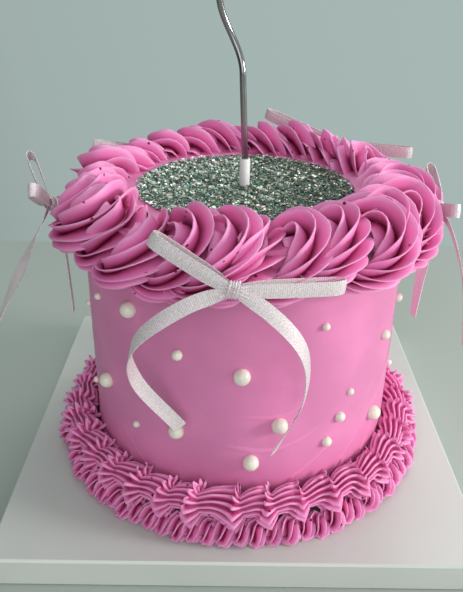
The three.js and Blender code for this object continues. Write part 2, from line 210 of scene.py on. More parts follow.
# How far from the knot a ribbon is gathered, how much narrower it gets, its pleats and its hollow face
GATHERED = 11
NARROWED = 0.5
PLEATS = 3.5
PLEAT_DEPTH = 0.55
HOLLOW = 0.1
SOFT_EDGE = math.radians(50)
SHARP_EDGE = math.radians(40)


# Settings that a user would change

def length(name, description, default):
    return bpy.props.FloatProperty(
        name=name, description=description, default=default * MM, min=0, unit="LENGTH", precision=4)


def count(name, description, default):
    return bpy.props.IntProperty(name=name, description=description, default=default, min=1)


def colour(name, description, default):
    return bpy.props.FloatVectorProperty(
        name=name, description=description, default=default, size=3, min=0, max=1, subtype="COLOR")


class CakeSizes(bpy.types.PropertyGroup):
    """Sizes and counts of the cake's dressing."""
    radius: length("Radius", "Radius of the coated cake", 77.5)
    top_loops: count("Top Loops", "Loops in the top border", 29)
    upper_loops: count("Upper Loops", "Loops in the upper foot border", 35)
    lower_loops: count("Lower Loops", "Loops in the lower foot border", 80)
    flakes: count("Flakes", "Flakes of edible glitter", 15000)
    candle_diameter: length("Candle", "Thickness of the candle", 3.0)
    ribbon_width: length("Ribbon Width", "Width of the ribbon", 6.0)
    ribbon_thickness: length("Ribbon Thickness", "Thickness of the ribbon", 0.35)


class CakeColours(bpy.types.PropertyGroup):
    """Colours of the cake and the studio."""
    coat: colour("Coat", "Scraped buttercream on the side and top", (0.78, 0.235, 0.475))
    piping: colour("Piping", "Piped buttercream", (0.86, 0.22, 0.52))
    # The piping's crest colour is a painted highlight on its blades' edges, and its deep colour is painted
    # shade in its furrows
    piping_crest_highlight: colour("Piping Crest Highlight", "Piped buttercream on its crests", (0.93, 0.45, 0.69))
    piping_furrow_shade: colour("Piping Furrow Shade", "Piped buttercream in its furrows", (0.36, 0.01, 0.09))
    pearl: colour("Pearls", "Sugar pearls", (0.90, 0.84, 0.72))
    board: colour("Board", "Laminated drum board", (0.66, 0.67, 0.63))
    # The glitter is silver: its green-grey here is a painted reflection of the green-grey room
    glitter: colour("Glitter", "The glitter's own green-grey", (0.09, 0.13, 0.10))
    ribbon: colour("Ribbon", "Face of the ribbon", (1.0, 0.76, 0.78))
    # The back's colour is partly painted highlight: it is made a lighter, bluer white where the ribbon's
    # back catches the light
    ribbon_back_highlight: colour("Ribbon Back Highlight", "Back of the ribbon", (0.94, 0.97, 1.0))
    candle: colour("Candle", "Metallic lacquer", (0.30, 0.29, 0.29))
    floor: colour("Floor", "Studio floor", (0.42, 0.46, 0.42))
    wall: colour("Surroundings", "Light all round", (0.355, 0.435, 0.42))


# Meshes

def deselect():
    if bpy.context.mode != "OBJECT":
        bpy.ops.object.mode_set(mode="OBJECT")
    bpy.ops.object.select_all(action="DESELECT")


def select_only(*pieces):
    deselect()
    for piece in pieces:
        piece.select_set(True)
    bpy.context.view_layer.objects.active = pieces[0]


def settle(piece):
    """Puts a piece's place into its mesh."""
    select_only(piece)
    bpy.ops.object.transform_apply(location=True, rotation=True, scale=True)
    return piece


def join(pieces, name):
    select_only(*pieces)
    if len(pieces) > 1:
        bpy.ops.object.join()
    bpy.context.object.name = name
    return bpy.context.object


def modify(piece, kind, **settings):
    """Adds a modifier to a piece and applies it."""
    select_only(piece)
    modifier = piece.modifiers.new(kind.title(), kind)
    for setting, value in settings.items():
        setattr(modifier, setting, value)
    bpy.ops.object.modifier_apply(modifier=modifier.name)
    return piece


def crumple(piece, scale, strength):
    """Moves a piece's surface in and out by soft noise."""
    texture = bpy.data.textures.new("unevenness", "CLOUDS")
    texture.noise_scale = scale * MM
    return modify(piece, "DISPLACE", texture=texture, strength=strength * MM, texture_coords="GLOBAL")


def mesh_piece(name, points, faces):
    """A smooth piece from arrays of points in millimetres."""
    mesh = bpy.data.meshes.new(name)
    mesh.from_pydata((np.asarray(points) * MM).tolist(), [], np.asarray(faces).tolist())
    piece = bpy.data.objects.new(name, mesh)
    bpy.context.scene.collection.objects.link(piece)
    mesh.polygons.foreach_set("use_smooth", [True] * len(mesh.polygons))
    mesh.update()
    return piece


def hand_over(piece, finish, slot, *nodes):
    """Dresses a piece, hangs it on the body and hides the imported nodes it stands for."""
    if finish is not None:
        piece.data.materials.clear()
        piece.data.materials.append(finish)
    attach(piece, BODY)
    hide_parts(*nodes)
    return piece


# Shader nodes

class Value:
    """A shader socket. Arithmetic on it adds Math nodes."""

    def __init__(self, finish, socket):
        self.finish = finish
        self.socket = socket

    def math(self, operation, first, second):
        return self.finish.node("ShaderNodeMath", {"operation": operation}, {0: first, 1: second})

    def __add__(self, other):
        return self.math("ADD", self, other)

    def __sub__(self, other):
        return self.math("SUBTRACT", self, other)

    def __rsub__(self, other):
        return self.math("SUBTRACT", other, self)

    def __mul__(self, other):
        return self.math("MULTIPLY", self, other)

    def __gt__(self, other):
        return self.math("GREATER_THAN", self, other)

    __radd__ = __add__
    __rmul__ = __mul__


class Finish:
    """A material in the making, with one Principled shader."""

    def __init__(self, name, **constants):
        self.material = bpy.data.materials.new(name)
        self.material.use_nodes = True
        self.tree = self.material.node_tree
        self.shader = self.tree.nodes["Principled BSDF"]
        self.wear(**constants)

    def node(self, kind, settings=None, inputs=None, output=0):
        """Adds a node: its settings first, then its sockets' values or links."""
        made = self.tree.nodes.new(kind)
        for setting, value in (settings or {}).items():
            setattr(made, setting, value)
        for socket, value in (inputs or {}).items():
            self.feed(made.inputs[socket], value)
        return Value(self, made.outputs[output])

    def feed(self, socket, value):
        if isinstance(value, Value):
            self.tree.links.new(value.socket, socket)
        elif socket.type == "RGBA":
            socket.default_value = (*tuple(value)[:3], 1)
        else:
            socket.default_value = value

    def wear(self, **inputs):
        """Feeds the shader's sockets, with spaces in their names written as underscores."""
        for name, value in inputs.items():
            self.feed(self.shader.inputs[name.replace("_", " ")], value)
        return self

    def place(self):
        return self.node("ShaderNodeTexCoord", output="Object")

    def uv(self):
        return self.node("ShaderNodeTexCoord", output="UV")

    def attribute(self, name, output="Fac"):
        return self.node("ShaderNodeAttribute", {"attribute_name": name}, output=output)

    def noise(self, scale, detail=2, roughness=0.5, vector=None):
        inputs = {"Vector": vector or self.place(), "Scale": scale, "Detail": detail, "Roughness": roughness}
        return self.node("ShaderNodeTexNoise", None, inputs)

    def cells(self, scale, vector=None, output="Distance"):
        inputs = {"Vector": vector or self.place(), "Scale": scale}
        return self.node("ShaderNodeTexVoronoi", None, inputs, output)

    def mix(self, factor, first, second, blend="MIX"):
        settings = {"data_type": "RGBA", "blend_type": blend}
        return self.node("ShaderNodeMix", settings, {0: factor, 6: first, 7: second}, output=2)

    def within(self, value, low, high):
        """0 below low, 1 above high, and smooth between."""
        settings = {"interpolation_type": "SMOOTHSTEP"}
        return self.node("ShaderNodeMapRange", settings, {"Value": value, "From Min": low, "From Max": high})

    def bump(self, height, strength, distance):
        inputs = {"Height": height, "Strength": strength, "Distance": distance * MM}
        return self.node("ShaderNodeBump", None, inputs)


def shade(tone, factor):
    return tuple(min(1, part * factor) for part in tone)


# Finishes

def coat_finish(colours):
    finish = Finish("scraped_buttercream", Subsurface_Weight=0.15, Subsurface_Radius=(1, 0.35, 0.5),
                    Subsurface_Scale=0.004, Specular_IOR_Level=0.6)
    broad = finish.noise(22, 3)
    fine = finish.noise(420, 3, 0.6)
    tone = finish.mix(finish.within(broad, 0.35, 0.68), shade(colours.coat, 0.92), shade(colours.coat, 1.08))
    bowed = {"Vector": finish.place(), "Scale": 28, "Distortion": 3, "Detail": 1, "Detail Scale": 0.6}
    arcs = finish.node("ShaderNodeTexWave", {"wave_type": "RINGS"}, bowed)
    scraped_and_highlighted = finish.within(arcs, 0.95, 1.0) * finish.within(finish.noise(13, 1), 0.5, 0.6)
    # Painted highlight: the scraper arcs are mixed towards a lighter coat colour, while their relief comes
    # from the bump
    tone = finish.mix(scraped_and_highlighted * 0.45, tone, shade(colours.coat, 1.3))
    level = finish.noise(45, 2) * 0.8 + fine * 0.28 + scraped_and_highlighted * 0.9
    return finish.wear(Base_Color=tone, Roughness=0.36 + broad * 0.16,
                       Normal=finish.bump(level, 0.35, 0.6)).material


def piping_finish(colours):
    finish = Finish("piped_buttercream", Subsurface_Weight=0.15, Subsurface_Radius=(1, 0.3, 0.45),
                    Subsurface_Scale=0.003, Specular_IOR_Level=0.4)
    crest = finish.attribute("crest")
    broad = finish.noise(55, 3)
    fine = finish.noise(900, 3, 0.65)
    # Painted shade in the furrows and a painted highlight on the crests, by how far out on a blade each
    # point lies
    furrow_shaded = finish.mix(finish.within(crest, 0.02, 0.7), colours.piping_furrow_shade, colours.piping)
    body = finish.mix(finish.within(crest, 0.55, 1.0) * 0.62, furrow_shaded, colours.piping_crest_highlight)
    tone = finish.mix(finish.within(broad, 0.3, 0.7) * 0.35, body, shade(colours.piping, 1.12))
    # Pores: small dents in the bump, with painted shade in them
    hole = 1 - finish.within(finish.cells(150), 0.08, 0.14)
    pore_dents_and_shade = hole * (finish.noise(31, 1) > 0.46)
    tone = finish.mix(pore_dents_and_shade, tone, shade(colours.piping_furrow_shade, 0.45))
    level = fine * 0.5 + finish.noise(260, 2) * 0.5 - pore_dents_and_shade * 2
    return finish.wear(Base_Color=tone, Roughness=0.42 + fine * 0.16,
                       Normal=finish.bump(level, 0.4, 0.25)).material


def pearl_finish(colours):
    finish = Finish("sugar_pearl", Coat_Roughness=0.2, Subsurface_Weight=0.1, Subsurface_Scale=0.002)
    mottle = finish.noise(700, 2)
    tone = finish.mix(mottle, shade(colours.pearl, 0.93), shade(colours.pearl, 1.05))
    return finish.wear(Base_Color=tone, Roughness=0.25 + mottle * 0.15, Coat_Weight=0.35 + mottle * 0.2,
                       Normal=finish.bump(mottle, 0.15, 0.1)).material


def board_finish(colours):
    finish = Finish("laminated_board", Coat_Roughness=0.12)
    cloud = finish.noise(14, 3)
    grain = finish.noise(900, 2, 0.7)
    tone = finish.mix(finish.within(cloud, 0.3, 0.7), shade(colours.board, 0.96), shade(colours.board, 1.03))
    return finish.wear(Base_Color=tone, Roughness=0.26 + cloud * 0.12, Coat_Weight=0.25 + cloud * 0.1,
                       Normal=finish.bump(cloud + grain * 0.05, 0.12, 0.5)).material


def sugar_bed_finish(colours):
    finish = Finish("glitter_bed")
    grit = finish.noise(1500, 3, 0.7)
    # The bed's green-grey is a painted reflection of the room, as in the flakes
    tone = finish.mix(finish.within(grit, 0.3, 0.7), shade(colours.glitter, 0.45), colours.glitter)
    return finish.wear(Base_Color=tone, Roughness=0.5, Normal=finish.bump(grit, 0.8, 0.5)).material


def flake_finish():
    finish = Finish("glitter_flakes", Coat_Roughness=0.1)
    grain = finish.noise(2500, 1)
    return finish.wear(Base_Color=finish.attribute("flake", "Color"), Metallic=0.55,
                       Roughness=0.16 + grain * 0.2, Coat_Weight=0.4 * grain).material


def candle_finish(colours):
    finish = Finish("metallic_wax", Coat_Roughness=0.15)
    cloud = finish.noise(160, 3)
    tone = finish.mix(cloud, shade(colours.candle, 0.85), shade(colours.candle, 1.15))
    return finish.wear(Base_Color=tone, Metallic=1.0, Roughness=0.14 + cloud * 0.12, Coat_Weight=0.2 * cloud,
                       Normal=finish.bump(finish.noise(500, 2), 0.1, 0.1)).material


def holder_finish():
    finish = Finish("white_plastic")
    cloud = finish.noise(300, 2)
    tone = finish.mix(cloud, (0.86, 0.87, 0.85), (0.94, 0.94, 0.92))
    return finish.wear(Base_Color=tone, Roughness=0.34 + cloud * 0.12,
                       Normal=finish.bump(cloud, 0.08, 0.1)).material


def wick_finish():
    finish = Finish("waxed_cotton")
    twist = finish.node("ShaderNodeTexWave", {"bands_direction": "DIAGONAL"},
                        {"Vector": finish.place(), "Scale": 550, "Distortion": 1})
    tone = finish.mix(twist, (0.66, 0.62, 0.52), (0.92, 0.89, 0.80))
    return finish.wear(Base_Color=tone, Roughness=0.8, Normal=finish.bump(twist, 0.6, 0.15)).material


def ribbon_finish(name, tone, sparkle, deepest, metal):
    """Satin woven across its length: threads in the ribbon's own map, whose units are millimetres."""
    finish = Finish(name, Sheen_Weight=0.25, Sheen_Roughness=0.4, Anisotropic=0.4)
    spread = finish.node("ShaderNodeMapping", None, {"Vector": finish.uv(), "Scale": (1.0, 6.0, 1.0)})
    threads = finish.node("ShaderNodeTexWave", {"bands_direction": "X"},
                          {"Vector": finish.uv(), "Scale": 0.36, "Distortion": 0.5, "Detail": 1})
    weft = finish.noise(0.9, 2, 0.6, spread)
    glint = finish.cells(1.4, finish.uv(), "Color")
    floats = finish.within(weft, 0.4, 0.66)
    shine = finish.mix(threads * 0.4 + floats * 0.6, shade(tone, deepest), shade(tone, 1.2))
    rainbow = finish.mix(floats * sparkle, shine, finish.mix(0.7, shine, glint, "SCREEN"))
    level = threads * 0.5 + weft * 0.9
    return finish.wear(Base_Color=rainbow, Metallic=metal, Roughness=0.24 + weft * 0.24,
                       Normal=finish.bump(level, 0.6, 0.15)).material


def floor_finish(colours):
    finish = Finish("studio_floor")
    cloud = finish.noise(3, 3)
    tone = finish.mix(cloud, shade(colours.floor, 0.96), shade(colours.floor, 1.04))
    return finish.wear(Base_Color=tone, Roughness=0.45 + cloud * 0.1,
                       Normal=finish.bump(finish.noise(300, 2), 0.03, 0.2)).material


# Piping

def blade_outline(tip):
    """The strand's section, for each point: angle, radius, share of the way out on a blade, and blade."""
    outline = []
    for blade in range(tip["blades"]):
        middle = 2 * math.pi * blade / tip["blades"]
        for share, side in BLADE:
            radius = tip["core"] + tip["depth"] * share
            half = tip["thick"] / 2 * (1 - BLADE_TAPER * share)
            angle = middle + tip["skew"] * share ** BLADE_CURL + side * half / radius
            outline.append((angle, radius, share, blade))
        outline.append((middle + math.pi / tip["blades"], tip["core"] * FURROW, 0, blade))
    return np.array(outline).T


def unit(vectors):
    return vectors / np.linalg.norm(vectors, axis=-1, keepdims=True)


def strand(border, loops):
    """Points of the strand, one row for each section, and how far out on a blade each lies."""
    draw = random.Random(border["seed"])
    drawn = [[draw.gauss(0, spread) * border["uneven"] for spread in STRAYS.values()] for _ in range(loops)]
    values = dict(zip(STRAYS, np.array(drawn).T))
    turns = np.arange(loops * border["steps"]) / border["steps"]
    loop = np.floor(turns).astype(int)
    within = turns - loop
    ease = within * within * (3 - 2 * within)

    def stray(trait):
        return values[trait][loop % loops] * (1 - ease) + values[trait][(loop + 1) % loops] * ease

    def times(numbers, vectors):
        return np.asarray(numbers)[:, None] * vectors

    azimuth = 2 * np.pi * (turns + stray("azimuth")) / loops
    slope = math.radians(border["slope"]) + stray("slope")
    zero = np.zeros_like(azimuth)
    outward = np.stack([np.sin(azimuth), -np.cos(azimuth), zero], 1)
    along = np.stack([np.cos(azimuth), np.sin(azimuth), zero], 1)
    up = np.array([0.0, 0.0, 1.0])
    across = times(np.cos(slope), outward) + times(np.sin(slope), up)
    upward = times(-np.sin(slope), outward) + times(np.cos(slope), up)

    turn = 2 * np.pi * turns
    leaning = np.cos(turn + math.radians(border["lean_from"]))
    standing = np.cos(turn + math.radians(border["out_from"]))
    middle = times(border["ring"] + stray("ring"), outward) + times(border["height"] + stray("height"), up)
    middle = middle + times(border["up"] * (1 + stray("up")) * np.sin(turn), upward)
    middle = middle + times(border["lean"] * (1 + stray("lean")) * leaning, along)
    middle = middle + times(border["out"] * (1 + stray("out")) * standing, across)

    travel = unit(np.roll(middle, -1, 0) - np.roll(middle, 1, 0))
    side = unit(np.cross(travel, across))
    over = np.cross(side, travel)
    angle, radius, share, blade = blade_outline(border["tip"])
    swell = 1 + border["swell"] * np.cos(turn - math.radians(border["swell_at"]))
    opening = np.clip(within / SHELL_WIDENS, 0, 1) * np.clip((1 - within) / (1 - SHELL_WIDENS), 0, 1)
    size = border["size"] * (1 + stray("size")) * swell * (1 + border["flare"] * (2 * opening - 1))
    tip = border["tip"]
    spike = SHELL_SPIKES * border["flare"] * tip["depth"]
    spikes = 1 + spike * opening[:, None] ** 4 * share[None, :] ** 2
    ragged = np.random.default_rng(border["seed"]).normal(0, border["ragged"], (len(turns), tip["blades"]))
    ragged = (ragged + np.roll(ragged, 1, 0)) / 2
    reach = size[:, None] * radius[None, :] * spikes + ragged[:, blade.astype(int)] * share[None, :] ** 2
    spin = border["twist"] * (turn + np.pi / 2) + stray("spin")
    turned = spin[:, None] - angle[None, :]
    points = middle[:, None] + side[:, None] * (np.cos(turned) * reach)[..., None]
    points = points + over[:, None] * (np.sin(turned) * reach)[..., None]
    return points, np.broadcast_to(share, points.shape[:2])


def ring_faces(rows, columns):
    """Faces of a grid that closes on itself both ways."""
    row, column = np.meshgrid(np.arange(rows), np.arange(columns), indexing="ij")
    beside = (column + 1) % columns
    here, there = row * columns, (row + 1) % rows * columns
    corners = (here + column, here + beside, there + beside, there + column)
    return np.stack([part.ravel() for part in corners], 1)


def pipe(name, border, loops, finish, node):
    points, share = strand(border, loops)
    rows, columns = share.shape
    piece = mesh_piece(name, points.reshape(-1, 3), ring_faces(rows, columns))
    crest = piece.data.attributes.new("crest", "FLOAT", "POINT")
    crest.data.foreach_set("value", share.ravel().astype(np.float32))
    return hand_over(piece, finish, "piping", node)


# Operators

class DressingOperator:
    """What the cake's operators share."""
    bl_options = {"REGISTER", "UNDO"}

    @staticmethod
    def settings(context):
        return context.scene.cake_sizes, context.scene.cake_colours


class CAKE_OT_studio(DressingOperator, bpy.types.Operator):
    """Set the floor, the soft lights and the camera"""
    bl_idname = "cake.studio"
    bl_label = "Studio"

    def execute(self, context):
        _, colours = self.settings(context)
        deselect()
        bpy.ops.mesh.primitive_plane_add(size=1, location=FLOOR["middle"])
        floor = bpy.context.object
        floor.name = "studio_floor"
        floor.scale = FLOOR["sides"]
        settle(floor)
        floor.data.materials.append(floor_finish(colours))
        for name, light in LIGHTS.items():
            self.add_light(name, **light)
        world = bpy.data.worlds.new("studio")
        bpy.context.scene.world = world
        world.use_nodes = True
        self.light_room(world.node_tree, colours)
        bpy.context.scene.view_settings.view_transform = "Standard"
        self.add_camera()
        return {"FINISHED"}

    @staticmethod
    def light_room(tree, colours):
        """Surroundings that are bright on the window's side and dark on the other."""
        direction = tree.nodes.new("ShaderNodeTexCoord")
        towards = tree.nodes.new("ShaderNodeVectorMath")
        towards.operation = "DOT_PRODUCT"
        towards.inputs[1].default_value = WINDOW_SIDE
        share = tree.nodes.new("ShaderNodeMapRange")
        share.inputs["From Min"].default_value = -1
        tones = tree.nodes.new("ShaderNodeValToRGB")
        stops = tones.color_ramp.elements
        while len(stops) < len(WALL_TONES):
            stops.new(0.5)
        for stop, (place, factor) in zip(stops, WALL_TONES):
            stop.position = place
            stop.color = (*shade(colours.wall, factor), 1)
        tree.links.new(direction.outputs["Generated"], towards.inputs[0])
        tree.links.new(towards.outputs["Value"], share.inputs["Value"])
        tree.links.new(share.outputs["Result"], tones.inputs["Fac"])
        tree.links.new(tones.outputs["Color"], tree.nodes["Background"].inputs["Color"])

    @staticmethod
    def add_light(name, place, size, power, tone):
        bpy.ops.object.light_add(type="AREA", location=place)
        light = bpy.context.object
        light.name = name
        light.data.energy = power
        light.data.size = size
        light.data.color = tone
        aim = Vector(LIGHTS_AIM) - Vector(place)
        light.rotation_euler = aim.to_track_quat("-Z", "Y").to_euler()

    @staticmethod
    def add_camera():
        bpy.ops.object.camera_add()
        camera = bpy.context.object
        camera.data.sensor_width = SENSOR
        camera.data.lens = FOCAL_PIXELS / IMAGE_HEIGHT * SENSOR
        camera.data.clip_start = 0.01
        tilt = Matrix.Rotation(math.radians(90 - CAMERA_PITCH), 4, "X")
        roll = Matrix.Rotation(math.radians(CAMERA_ROLL), 4, "Z")
        camera.matrix_world = Matrix.Translation(Vector(CAMERA_PLACE) * MM) @ tilt @ roll
        bpy.context.scene.camera = camera


class CAKE_OT_board(DressingOperator, bpy.types.Operator):
    """Laminate the drum board"""
    bl_idname = "cake.board"
    bl_label = "Board"

    def execute(self, context):
        _, colours = self.settings(context)
        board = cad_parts["cake_board"]
        finish = board_finish(colours)
        board.data.materials.clear()
        board.data.materials.append(finish)
        return {"FINISHED"}


class CAKE_OT_coat(DressingOperator, bpy.types.Operator):
    """Coat the cake in scraped buttercream"""
    bl_idname = "cake.coat"
    bl_label = "Coat"

    def execute(self, context):
        sizes, colours = self.settings(context)
        depth = (CAKE_TOP - COAT_FOOT) * MM
        middle = (CAKE_TOP + COAT_FOOT) / 2 * MM
        deselect()
        bpy.ops.mesh.primitive_cylinder_add(
            vertices=COAT["sides"], radius=sizes.radius, depth=depth, location=(0, 0, middle),
            end_fill_type="NGON")
        coat = settle(bpy.context.object)
        coat.name = "coat"
        select_only(coat)
        bpy.ops.object.mode_set(mode="EDIT")
        bpy.ops.mesh.select_mode(type="EDGE")
        bpy.ops.mesh.select_all(action="DESELECT")
        bpy.ops.object.mode_set(mode="OBJECT")
        for edge in coat.data.edges:
            low, high = (coat.data.vertices[index].co for index in edge.vertices)
            edge.select = abs(low.z - high.z) > depth / 2
        bpy.ops.object.mode_set(mode="EDIT")
        bpy.ops.mesh.subdivide_edgering(number_cuts=COAT["rows"], interpolation="LINEAR")
        bpy.ops.mesh.select_all(action="DESELECT")
        bpy.ops.mesh.select_mode(type="FACE")
        bpy.ops.object.mode_set(mode="OBJECT")
        for face in coat.data.polygons:
            face.select = face.normal.z > 0.5
        bpy.ops.object.mode_set(mode="EDIT")
        bpy.ops.mesh.inset(thickness=COAT["edge"] * MM)
        bpy.ops.transform.translate(value=(0, 0, COAT["dome"] * MM))
        for _ in range(COAT["rings"]):
            bpy.ops.mesh.inset(thickness=COAT["ring"] * MM)
        bpy.ops.object.mode_set(mode="OBJECT")
        for scale, strength in COAT_WAVES:
            crumple(coat, scale, strength)
        select_only(coat)
        bpy.ops.object.shade_smooth_by_angle(angle=SOFT_EDGE)
        hand_over(coat, coat_finish(colours), "buttercream", "cake_body")
        return {"FINISHED"}


def uneven(seed, item, trait):
    """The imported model's steady numbers from -1 to 1."""
    wave = math.sin(seed * 12.9898 + item * 78.233 + trait * 37.719) * 43758.5453
    return 2 * (wave - math.floor(wave)) - 1


def pearl_places():
    places = list(FRONT_PEARLS)
    back = BACK_PEARLS
    for column in range(back["columns"]):
        for row in range(back["rows"]):
            item = column * back["rows"] + row
            across = (column + 0.5 + back["stray"] * uneven(back["seed"], item, 0)) / back["columns"]
            upwards = (row + 0.5 + back["stray"] * uneven(back["seed"], item, 1)) / back["rows"]
            size = BACK_PEARL_SIZES[(item + column) % len(BACK_PEARL_SIZES)]
            azimuth = back["from"] + (back["to"] - back["from"]) * across
            height = back["lowest"] + (back["highest"] - back["lowest"]) * upwards
            places.append((azimuth, height, size))
    return places


def outward_at(azimuth):
    return Vector((math.sin(azimuth), -math.cos(azimuth), 0))


def along_at(azimuth):
    return Vector((math.cos(azimuth), math.sin(azimuth), 0))


class CAKE_OT_pearls(DressingOperator, bpy.types.Operator):
    """Press sugar pearls into the coat"""
    bl_idname = "cake.pearls"
    bl_label = "Pearls"

    def execute(self, context):
        sizes, colours = self.settings(context)
        pearls = []
        for azimuth, height, size in pearl_places():
            radius = PEARL_DIAMETER[size] / 2 * MM
            place = outward_at(math.radians(azimuth)) * (sizes.radius + radius * PEARL_SUNK)
            place.z = (BOARD_TOP + height) * MM
            deselect()
            bpy.ops.mesh.primitive_uv_sphere_add(segments=20, ring_count=12, radius=radius, location=place)
            pearls.append(bpy.context.object)
        piece = settle(join(pearls, "sugar_pearls"))
        crumple(piece, *PEARL_WAVES)
        select_only(piece)
        bpy.ops.object.shade_smooth()
        hand_over(piece, pearl_finish(colours), "buttercream", "cake_body")
        return {"FINISHED"}


class CAKE_OT_top_border(DressingOperator, bpy.types.Operator):
    """Pipe the top border"""
    bl_idname = "cake.top_border"
    bl_label = "Top Border"

    def execute(self, context):
        sizes, colours = self.settings(context)
        pipe("piped_top", TOP_BORDER, sizes.top_loops, piping_finish(colours), "border_top")
        return {"FINISHED"}


class CAKE_OT_foot_borders(DressingOperator, bpy.types.Operator):
    """Pipe the two foot borders"""
    bl_idname = "cake.foot_borders"
    bl_label = "Foot Borders"

    def execute(self, context):
        sizes, colours = self.settings(context)
        finish = piping_finish(colours)
        pipe("piped_foot_upper", UPPER_FOOT_BORDER, sizes.upper_loops, finish, "border_foot_upper")
        pipe("piped_foot_lower", LOWER_FOOT_BORDER, sizes.lower_loops, finish, "border_foot_lower")
        return {"FINISHED"}


class CAKE_OT_glitter(DressingOperator, bpy.types.Operator):
    """Strew edible glitter on the cake's top"""
    bl_idname = "cake.glitter"
    bl_label = "Glitter"

    # Flake tones: the greens and the dark green are painted reflections of the green-grey room, and the
    # cream, pink and turquoise are painted glints
    TONES = ((0.15, 0.23, 0.16), (0.22, 0.32, 0.23), (0.40, 0.50, 0.38), (0.85, 0.88, 0.70),
             (0.10, 0.27, 0.25), (0.88, 0.66, 0.64), (0.03, 0.07, 0.04))
    WEIGHTS = (30, 22, 12, 7, 9, 4, 22)
    # The tones of the painted glints on flakes in rich clumps
    BRIGHT = (2, 3, 3, 5)
    SEED = 17
    # Sizes from a flake's middle to its corners, the least and how much more at most, and its half thickness
    LEAST, MORE, HALF_THICK = 0.32, 0.55, 0.1
    # How far the flakes tip, and how large they are in rich clumps and how often they carry a painted glint
    # there
    TIPPED = 0.45
    RICH_FROM, RICH_LARGER, RICH_BRIGHT = 0.5, 1.45, 0.75

    def execute(self, context):
        sizes, colours = self.settings(context)
        deselect()
        depth = GLITTER_BED["depth"]
        place = (0, 0, (GLITTER_TOP - depth / 2) * MM)
        bpy.ops.mesh.primitive_cylinder_add(
            vertices=GLITTER_BED["sides"], radius=GLITTER_RADIUS * MM, depth=depth * MM, location=place)
        bed = settle(bpy.context.object)
        bed.name = "glitter_bed"
        crumple(bed, *GLITTER_BED["waves"])
        hand_over(bed, sugar_bed_finish(colours), "glitter", "glitter_top")
        flakes = self.strew(sizes.flakes)
        hand_over(flakes, flake_finish(), "glitter", "glitter_top")
        return {"FINISHED"}

    def strew(self, count):
        """Flat four-sided crystals, tipped at random. They lie evenly over the top."""
        draw = np.random.default_rng(self.SEED)
        radius = (GLITTER_RADIUS + 1.2) * np.sqrt(draw.random(count))
        angle = 2 * np.pi * draw.random(count)
        centre = np.stack([radius * np.cos(angle), radius * np.sin(angle),
                           GLITTER_TOP + 0.1 + 0.45 * draw.random(count)], 1)
        clump = np.sin(centre[:, 0] * 0.31 + 2.1) * np.sin(centre[:, 1] * 0.43 + 0.6)
        clump += 0.7 * np.sin(centre[:, 0] * 0.83 + centre[:, 1] * 0.71) + 0.3 * draw.normal(0, 1, count)
        rich = clump > self.RICH_FROM
        size = (self.LEAST + self.MORE * draw.random(count) ** 2) * np.where(rich, self.RICH_LARGER, 1)
        tip, spin = draw.normal(0, self.TIPPED, count), 2 * np.pi * draw.random(count)
        normal = np.stack([np.sin(tip) * np.cos(spin), np.sin(tip) * np.sin(spin), np.cos(tip)], 1)
        first = unit(np.cross(normal, np.array([0.3, 1.0, 0.1])))
        second = np.cross(normal, first)
        corners = []
        for quarter in range(4):
            turn = quarter * np.pi / 2
            corners.append(centre + (first * math.cos(turn) + second * math.sin(turn)) * size[:, None])
        corners.append(centre + normal * self.HALF_THICK)
        corners.append(centre - normal * self.HALF_THICK)
        points = np.stack(corners, 1).reshape(-1, 3)
        pattern = [(quarter, (quarter + 1) % 4, 4) for quarter in range(4)]
        pattern += [((quarter + 1) % 4, quarter, 5) for quarter in range(4)]
        faces = (np.arange(count)[:, None, None] * 6 + np.array(pattern)[None]).reshape(-1, 3)
        piece = mesh_piece("glitter_flakes", points, faces)
        piece.data.polygons.foreach_set("use_smooth", [False] * len(piece.data.polygons))
        weights = np.array(self.WEIGHTS) / sum(self.WEIGHTS)
        plain = draw.choice(len(self.TONES), count, p=weights)
        bright = draw.choice(self.BRIGHT, count)
        painted_glints = rich & (draw.random(count) < self.RICH_BRIGHT)
        tones = np.array(self.TONES)[np.where(painted_glints, bright, plain)]
        # Painted light: the flakes are made lighter towards the left and back and darker towards the right
        # and front
        painted_side_light = np.clip(1.05 - 0.012 * centre[:, :1] + 0.004 * centre[:, 1:2], 0.6, 1.6)
        tones = np.clip(tones * painted_side_light * (0.6 + 0.8 * draw.random((count, 1))), 0, 1)
        coloured = np.concatenate([tones, np.ones((count, 1))], 1).repeat(6, 0)
        attribute = piece.data.attributes.new("flake", "FLOAT_COLOR", "POINT")
        attribute.data.foreach_set("color", coloured.astype(np.float32).ravel())
        return piece


def candle_line(height):
    """The candle's middle line at a height above the floor."""
    waves_from = CAKE_TOP + CANDLE["straight"]
    phase = 2 * math.pi * max(0, height - waves_from) / CANDLE["pitch"]
    leaning = CANDLE["lean"] * max(0, min(height, waves_from) - HOLDER_TOP)
    wave = CANDLE["wave"]
    sway = CANDLE["sway"] * wave * math.sin(phase) ** 2
    return Vector((wave * (math.cos(phase) - 1) - leaning, sway, height))


